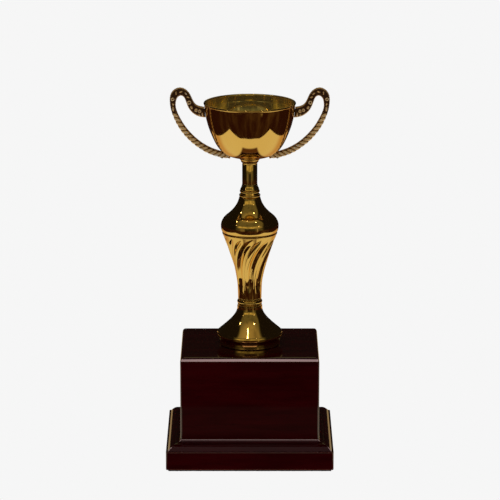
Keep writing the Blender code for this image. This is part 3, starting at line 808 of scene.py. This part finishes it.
def build_neck(gold):
    bottom, top, radius = span("neck_tube")
    inner = radius - NECK_WALL
    groove = 0.15
    line = [(inner, top), (radius, top), (radius, top - 1.0), (radius - groove, top - 1.15)]
    line += [(radius - groove, top - 1.5), (radius, top - 1.65), (radius, bottom + 1.0)]
    line += [(radius, bottom), (inner, bottom)]
    mesh = turned_mesh("neck_sleeve", eased(line, 0.15, sharper_than=60))
    add_piece(mesh, "figure", "neck_gold", gold, "neck_tube", reach=0.3)

    bottom, top, radius = span("bowl_collar")
    step = 7.6
    line = [(BORE, top), (radius - 0.3, top)]
    line += arc(radius - 1.2, top - 1.3, 1.2, 1.25, 70, -70, 12)
    line += [(step + 0.1, top - 2.7), (step, bottom + 0.5), (step - 0.1, bottom), (BORE, bottom)]
    mesh = turned_mesh("stepped_collar", eased(line, 0.15))
    add_piece(mesh, "figure", "collar_gold", gold, "bowl_collar", reach=0.4)


def build_rod(steel):
    bottom, top, radius = span("tie_rod")
    chamfer = 0.6
    low_end = bottom + 14
    high_start = top - 13
    line = [(0, top), (radius - chamfer, top)]
    line += thread_line(radius, top - chamfer, high_start, ROD_PITCH)
    line += [(radius, high_start - 0.5), (radius, low_end + 0.5)]
    line += thread_line(radius, low_end, bottom + chamfer, ROD_PITCH)
    line += [(radius - chamfer, bottom), (0, bottom)]
    ends = ((bottom + chamfer, low_end), (high_start, top - chamfer))
    threads = [(start, end, ROD_PITCH, 0.55) for start, end in ends]
    rod = turned_mesh("threaded_rod", line, SMALL_ROUND, threads)
    add_piece(rod, "figure", "rod_steel", steel, "tie_rod", reach=0.3)


def nut_mesh(name, node):
    """Hexagon nut with chamfered corners at both faces and a countersunk bore."""
    bottom, top, corner = span(node)
    flat = corner * math.cos(math.radians(30))
    bore = NUT_BORE
    per_side = 10
    angle = np.linspace(0, 2 * np.pi, 6 * per_side, endpoint=False)
    hexagon = flat / np.cos((angle + math.radians(30)) % math.radians(60) - math.radians(30))
    hexagon = np.minimum(hexagon, corner)
    drop = (corner - flat) * math.tan(math.radians(30))
    rows = [(bore, top - 0.5, 0), (bore + 0.5, top, 0), (flat - 0.25, top, 0)]
    rows += [(flat - 0.25 + 0.35 * step, top - 0.2 * step, 1) for step in range(1, 5)]
    rows.append((corner, top - drop - 0.8, 1))
    rows += [(radius, bottom + top - height, on_side) for radius, height, on_side in rows[::-1]]
    loops = []
    for radius, height, on_side in rows:
        reach = np.minimum(hexagon, radius) if on_side else np.full_like(angle, radius)
        loops.append(about_axis(reach, angle, height))
    return grid_mesh(name, np.array(loops), wrap_rows=True)


def build_clamp(steel):
    """Nuts and washers at the two ends of the rod."""
    for node, name in (("base_nut", "base_hex_nut"), ("bowl_nut", "bowl_hex_nut")):
        add_piece(nut_mesh(name, node), "figure", "nut_steel", steel, node, reach=0.3, crease=25)
    for node, name in (("base_washer", "base_flat_washer"), ("bowl_washer", "bowl_flat_washer")):
        bottom, top, radius = span(node)
        line = eased([(NUT_BORE, top), (radius, top), (radius, bottom), (NUT_BORE, bottom)], 0.3)
        add_piece(turned_mesh(name, line, SMALL_ROUND * 2), "figure", "nut_steel", steel, node, reach=0.4)


# ---------------- cup


def bowl_side(steps):
    """The bowl's outer side below the rolled rim, down to the flat round the bore."""
    return cubic(BOWL_SIDE, steps) + cubic(BOWL_BELLY, steps)[1:]


def bowl_line():
    """The bowl's outer side from its rim down, as an array of radii and heights."""
    return np.array([(BOWL_SIDE[0][0], RIM_TOP), *bowl_side(60)])


def bowl_surface(z):
    """Radius that the bowl's outer side has at a height, for handles that end on it."""
    line = bowl_line()[::-1]
    return np.interp(z, line[:, 1], line[:, 0])


def build_bowl(gold):
    bottom, top, radius = span("bowl")
    roll = arc(radius - RIM_ROLL, top - RIM_ROLL, RIM_ROLL, RIM_ROLL, 90, -62, 10)
    outer = roll + bowl_side(46)[1:] + [(BORE, bottom)]
    inner = inset(bowl_side(46), BOWL_WALL)
    turned_line = top - 6.2
    inner = [(r + 0.10 * math.exp(-(((turned_line - z) / 0.25) ** 2)), z) for r, z in inner[1:]]
    inner_roll = arc(radius - RIM_ROLL, top - RIM_ROLL, RIM_ROLL, RIM_ROLL, 215, 100, 8)
    inner = [(BORE, bottom + BOWL_WALL), *inner[::-1]]
    outline = outer + inner + inner_roll
    marks = {"inside": lambda radius, height: (bowl_surface(height) - radius > 0.5 * BOWL_WALL) * 1.0}
    mesh = turned_mesh("spun_bowl", eased(outline, 0.3), 192, marks=marks)
    add_piece(mesh, "cup", "bowl_gold", gold, "bowl", reach=0.6)


def smooth_route(stations):
    """Route points of the handle at even steps, on natural cubic splines through the given ones."""
    given = np.array(HANDLE_ROUTE)
    gaps = np.hypot(*np.diff(given[:, :2], axis=0).T)
    at = np.concatenate([[0], np.cumsum(gaps)])
    count = len(given)
    matrix = np.eye(count)
    right = np.zeros((count, 3))
    for i in range(1, count - 1):
        matrix[i, i - 1 : i + 2] = gaps[i - 1], 2 * (gaps[i - 1] + gaps[i]), gaps[i]
        right[i] = 6 * ((given[i + 1] - given[i]) / gaps[i] - (given[i] - given[i - 1]) / gaps[i - 1])
    bend = np.linalg.solve(matrix, right)
    where = np.linspace(0, at[-1], stations)
    left = np.clip(np.searchsorted(at, where, side="right") - 1, 0, count - 2)
    width = gaps[left][:, None]
    before = (where - at[left])[:, None]
    after = width - before
    result = (bend[left] * after**3 + bend[left + 1] * before**3) / (6 * width)
    result += (given[left] / width - bend[left] * width / 6) * after
    result += (given[left + 1] / width - bend[left + 1] * width / 6) * before
    return where, result


def ridge(distance, half_width):
    """Rounded ridge: 1 where the distance is 0, falling to 0 at the half width."""
    return unit(1 - (distance / half_width) ** 2) ** 0.8


def rope_relief(along, across, half):
    """Leaning round cords with a gap at each pitch, and a plain cord on the inner edge."""
    phase = (along + ROPE_LEAN * across) / ROPE_PITCH
    height = 0.95 * np.abs(np.sin(np.pi * phase)) ** 0.8 - 0.15
    share = across / half
    trough = np.exp(-(((share + 0.62) / 0.1) ** 2))
    edge = unit((-0.68 - share) / 0.1)
    height = height * (1 - edge) + 0.7 * edge
    return height - 0.55 * trough


def leaf_relief(x, z, along, across, half):
    """Cast rings and leaves on a sunk ground between two beaded edge cords."""
    share = np.abs(across / half)
    bead = 0.78 + 0.22 * np.cos(2 * np.pi * along / 1.5)
    height = ridge(share - 0.86, 0.2) * bead * 0.9
    for ring_x, ring_z, radius in RINGS:
        distance = np.hypot(x - ring_x, z - ring_z)
        height = np.maximum(height, ridge(distance - radius, 0.5))
        height = np.where(distance < radius * 0.45, -0.15, height)
    for leaf_x, leaf_z, length, width, lean in LEAVES:
        turn = math.radians(lean)
        over = (x - leaf_x) * math.cos(turn) + (z - leaf_z) * math.sin(turn)
        beside = (z - leaf_z) * math.cos(turn) - (x - leaf_x) * math.sin(turn)
        height = np.maximum(height, ridge(np.hypot(over / length, beside / width), 1.0) * 0.95)
    return height


def handle_mesh(name, side):
    """Sweep a flattened section along the route, raise the cast relief on it and end it on the bowl."""
    stations = 640
    columns = 72
    relief_height = 0.8
    seat_below = 291.5  # under this height the handle ends on the bowl's belly
    along, route = smooth_route(stations)
    centre = route[:, :2]
    half = route[:, 2]
    tangent = np.gradient(centre, axis=0)
    tangent /= np.linalg.norm(tangent, axis=1)[:, None]
    outward = np.stack([-tangent[:, 1], tangent[:, 0]], axis=1)
    turn = np.linspace(0, 2 * np.pi, columns, endpoint=False)
    power = 2 / 2.7
    over = np.sign(np.cos(turn)) * np.abs(np.cos(turn)) ** power
    deep = np.sign(np.sin(turn)) * np.abs(np.sin(turn)) ** power
    half_depth = np.minimum(0.86 * half, 2.9)
    sunk = 0.65  # the ground lies this far below the surface that the relief rises to
    across = (half - sunk)[:, None] * over
    x = centre[:, :1] + outward[:, :1] * across
    z = centre[:, 1:] + outward[:, 1:] * across
    y = (half_depth - sunk)[:, None] * deep

    rope_start = along[np.argmin(np.hypot(centre[:, 0] - ROPE_FROM[0], centre[:, 1] - ROPE_FROM[1]))]
    length = along[:, None]
    leaves = leaf_relief(x, z, length, across, half[:, None])
    rope = rope_relief(length - rope_start, across, half[:, None])
    share = unit((length - rope_start) / 1.0 + 0.5)
    relief = leaves * (1 - share) + rope * share
    facing = np.abs(np.sin(turn)) ** 0.6
    rise = relief_height * relief * (0.35 + 0.65 * facing)
    slope = np.stack([over / np.maximum(half.mean(), 1), deep / np.maximum(half_depth.mean(), 1)])
    slope /= np.linalg.norm(slope, axis=0)
    x = x + outward[:, :1] * rise * slope[0]
    z = z + outward[:, 1:] * rise * slope[0]
    y = y + rise * slope[1]

    limit = bowl_surface(z) + GAP
    reach = np.hypot(x, y)
    push = np.where(reach < limit, limit / np.maximum(reach, 1e-6), 1.0)
    under = centre[:, 1:] < seat_below
    x_pushed = np.where(under, x, x * push)
    y_pushed = np.where(under, y, y * push)
    line = bowl_line()[::-1]
    belly_z = np.interp(reach, line[:, 0], line[:, 1]) - 0.45
    z = np.where(under & (z > belly_z), belly_z, z)
    x, y = x_pushed, y_pushed

    points = np.stack([side * x, y, z], axis=-1)
    if side > 0:
        points = points[:, ::-1]
        relief = relief[:, ::-1]
    return grid_mesh(name, points, cap_ends=True, marks={"relief": unit(relief)})


def screw_mesh(name, length):
    """Pan-headed machine screw with a slot, its head's underside at height 0 and the shank below."""
    head_radius = 2.75
    head_height = 1.8
    shank = 1.5
    head = arc(0, 0.5, head_radius, head_height - 0.5, 90, 8, 10)
    line = [*head, (head_radius, 0.25), (head_radius - 0.2, 0), (shank, 0)]
    line += thread_line(shank, -0.3, 0.4 - length, SCREW_PITCH)
    line += [(shank - 0.4, -length), (0, -length)]
    mesh = turned_mesh(name, line, SMALL_ROUND, [(0.4 - length, -0.3, SCREW_PITCH, 0.25)])
    return carved(mesh, [box_mesh("slot", 7, 0.9, 0.9, 3)])


def build_handles(gold, steel):
    stand_off = BOWL_WALL + 0.8
    for side, label in ((-1, "left"), (1, "right")):
        mesh = handle_mesh(f"{label}_cast_handle", side)
        add_piece(mesh, "cup", "handle_gold", gold, f"{label}_handle", reach=0.35)
        for level, (curve, t) in SCREW_AT.items():
            radius, height = cubic_point(curve, t)
            before = Vector(cubic_point(curve, t - 0.01))
            along = (Vector(cubic_point(curve, t + 0.01)) - before).normalized()
            outward = Vector((side * -along.y, 0, along.x))
            seat = Vector((side * radius, 0, height)) - outward * stand_off
            mesh = screw_mesh(f"{label}_{level}_machine_screw", 5.2 + stand_off)
            turn = Vector((0, 0, 1)).rotation_difference(-outward).to_matrix().to_4x4()
            mesh.transform(Matrix.Translation(seat * MM) @ turn)
            node = f"{label}_{level}_screw"
            add_piece(mesh, "cup", "screw_steel", steel, node, reach=0.25, crease=40)


# ---------------- studio


def add_lamp(name, azimuth, elevation, distance, size, radiance, colour, only=()):
    """Soft lamp seen from the cup in a given direction, in degrees. The front is azimuth 0 and +X is 90.

    A lamp that lights only some pieces puts a reflection on them and leaves the rest alone.
    """
    turn = math.radians(azimuth)
    rise = math.radians(elevation)
    towards = Vector((math.sin(turn) * math.cos(rise), -math.cos(turn) * math.cos(rise), math.sin(rise)))
    light = bpy.data.lights.new(name, "AREA")
    light.shape = "RECTANGLE"
    light.size, light.size_y = size
    light.energy = radiance * math.pi * size[0] * size[1]
    light.color = colour
    lamp = add_object(name, light)
    lamp.location = Vector((0, 0, 0.2)) + towards * distance
    lamp.rotation_euler = towards.to_track_quat("Z", "Y").to_euler()
    if only:
        lit_pieces = bpy.data.collections.new(f"{name}_pieces")
        for piece in only:
            lit_pieces.objects.link(piece)
        lamp.light_linking.receiver_collection = lit_pieces
        lamp.visible_diffuse = False


def glowing(name, paint):
    """Material that glows with the colour that a function makes from its shader nodes."""
    material = bpy.data.materials.new(name)
    material.use_nodes = True
    nodes = Nodes(material.node_tree)
    material.node_tree.nodes.remove(material.node_tree.nodes["Principled BSDF"])
    glow = nodes.add("Emission", {"Color": paint(nodes)})
    output = material.node_tree.nodes["Material Output"]
    material.node_tree.links.new(glow.outputs[0], output.inputs["Surface"])
    return material


def table_paint(nodes):
    """Pale cloth in front that turns browner towards the back, with a soft painted shadow in front of the
    base.
    """
    place = nodes.add("TexCoord").outputs["Object"]
    x, y, _ = nodes.add("SeparateXYZ", {0: place}).outputs
    colour = nodes.mix(nodes.smooth(y, 0.05, 0.25), (0.73, 0.70, 0.50), (0.58, 0.38, 0.16))
    beside = nodes.smooth(nodes.maths("ABSOLUTE", x), 0.11, 0.085)
    # Painted shadow of the base: a dark brown patch on the table just in front of it.
    painted_base_shadow = nodes.times(nodes.smooth(y, -0.165, -0.135), beside)
    return nodes.mix(painted_base_shadow, colour, (0.10, 0.045, 0.02))


def add_sheet(name, outline, z, material):
    mesh = bpy.data.meshes.new(name)
    mesh.from_pydata([(x, y, z) for x, y in outline], [], [tuple(range(len(outline)))])
    mesh.materials.append(material)
    sheet = add_object(name, mesh)
    return sheet


def showroom_paint(nodes):
    """Colours of the dim warm showroom that gloss mirrors, by direction. Angles here are in radians."""
    mix = nodes.mix
    smooth = nodes.smooth
    times = nodes.times
    less = nodes.less
    band = nodes.band
    direction = nodes.add("TexCoord").outputs["Generated"]
    axes = nodes.add("SeparateXYZ", {0: direction}).outputs
    azimuth = nodes.maths("ARCTAN2", axes[0], times(axes[1], -1.0))
    aside = nodes.maths("ABSOLUTE", azimuth)
    elevation = nodes.maths("ARCSINE", axes[2])
    flattened = times(elevation, 0.5)
    around = nodes.add("CombineXYZ", {0: azimuth, 1: flattened}).outputs[0]
    cloud = nodes.noise(direction, 230, detail=3)
    streaks = smooth(nodes.noise(around, 330, detail=2), 0.4, 0.75)

    # The lit part of the room lies in front and overhead. Its sides open out with height.
    side = smooth(elevation, 0.3, 1.3, 0.95, 1.6)
    lit = smooth(less(aside, side), 0.15, -0.15)
    gloom = times(smooth(aside, 0.42, 0.28), smooth(elevation, 0.24, 0.16))
    strength = times(lit, smooth(cloud, 0.2, 0.8, 0.45, 1.6))
    strength = times(strength, less(1.0, times(gloom, 0.7)))
    strength = times(strength, smooth(elevation, 0.2, 0.3, 0.55, 1.0))
    wall = mix(smooth(elevation, 1.05, 1.4), (0.135, 0.130, 0.070), (0.36, 0.31, 0.16))
    upper = mix(strength, (0.010, 0.008, 0.006), wall)

    # Low down there are dark red furnishings with a few pale uprights between them.
    low_lit = times(smooth(aside, 1.9, 1.3), streaks)
    lower = mix(low_lit, (0.024, 0.007, 0.004), (0.065, 0.036, 0.018))
    room = mix(smooth(elevation, -0.22, -0.02), lower, upper)
    upright = times(band(azimuth, 0.54, 0.06), band(elevation, 0.0, 0.4))
    curtain = times(band(azimuth, -0.5, 0.2), band(elevation, -0.02, 0.3))
    bright = nodes.maths("MAXIMUM", times(curtain, 0.3), times(upright, 0.6))
    room = mix(bright, room, (0.42, 0.36, 0.22))

    # Pale walls above the eye line in front and behind, which light the inside of the bowl.
    opposite = nodes.maths("MAXIMUM", smooth(aside, 1.0, 0.7), smooth(aside, 2.65, 2.85))
    above = times(smooth(elevation, 0.28, 0.33), smooth(elevation, 0.65, 0.5))
    panes = smooth(nodes.noise(direction, 300, detail=2), 0.42, 0.6, 0.35, 1.0)
    pale_wall = times(times(opposite, above), panes)
    return mix(pale_wall, room, (0.62, 0.54, 0.24))


def build_room(wooden_pieces):
    """Pale surroundings for the eye and for soft light, and a dim warm showroom for gloss to mirror."""
    scene = bpy.context.scene
    world = bpy.data.worlds.new("showroom")
    world.use_nodes = True
    scene.world = world
    nodes = Nodes(world.node_tree)
    room = showroom_paint(nodes)
    path = nodes.add("LightPath").outputs
    pale = nodes.mix(path["Is Camera Ray"], (0.42, 0.42, 0.42), PALE)
    colour = nodes.mix(path["Is Glossy Ray"], pale, room)
    background = world.node_tree.nodes["Background"]
    nodes.give(background.inputs["Color"], colour)

    scene.view_settings.view_transform = "Standard"
    pale_floor = glowing("pale_floor", lambda nodes: PALE)
    floor = add_sheet("floor", ((-8, -8), (8, -8), (8, 8), (-8, 8)), -0.0004, pale_floor)
    floor.visible_glossy = False
    floor.visible_shadow = False
    table_edge = (*TABLE_HALF, *((-x, y) for x, y in TABLE_HALF[::-1]))
    table = add_sheet("table_top", table_edge, -0.0008, glowing("table_glow", table_paint))
    table.visible_camera = False
    table.visible_diffuse = False
    table.visible_shadow = False

    add_lamp("overhead_lamp", -28, 79, 1.7, (0.06, 0.10), 14, (1.0, 0.93, 0.78))
    add_lamp("left_lamp", -86, 54, 1.6, (0.07, 0.07), 18, LAMP_WHITE)
    add_lamp("right_lamp", 49, 66, 1.6, (0.07, 0.07), 18, LAMP_WHITE)
    add_lamp("left_low_lamp", -62, 32, 2.0, (0.05, 0.16), 4, LOW_LAMP_WHITE)
    add_lamp("right_low_lamp", 41, 33, 2.0, (0.05, 0.16), 4, LOW_LAMP_WHITE)
    add_lamp("softbox", 0, 52, 1.5, (1.6, 2.0), 5.0, (1.0, 0.68, 0.68), only=wooden_pieces)


def add_camera():
    data = bpy.data.cameras.new("camera")
    data.sensor_width = 36
    data.lens = CAMERA_LENS
    camera = add_object("camera", data)
    camera.location = CAMERA_PLACE
    camera.rotation_euler = (math.radians(90 - CAMERA_TILT), 0, 0)
    bpy.context.scene.camera = camera


# ---------------- assembly


def main():
    add_camera()
    gold = polished_gold("polished_gold")
    steel = zinc_steel("zinc_steel")
    boards = build_base(black_felt("wool_felt"), steel)
    for build in (build_foot, build_ring, build_column, build_knop, build_neck):
        build(gold)
    build_rod(steel)
    build_clamp(steel)
    build_bowl(polished_gold("bowl_gold", hazy_inside_with_painted_light=True))
    build_handles(antique_gold("antique_gold"), steel)
    build_room(boards)


main()
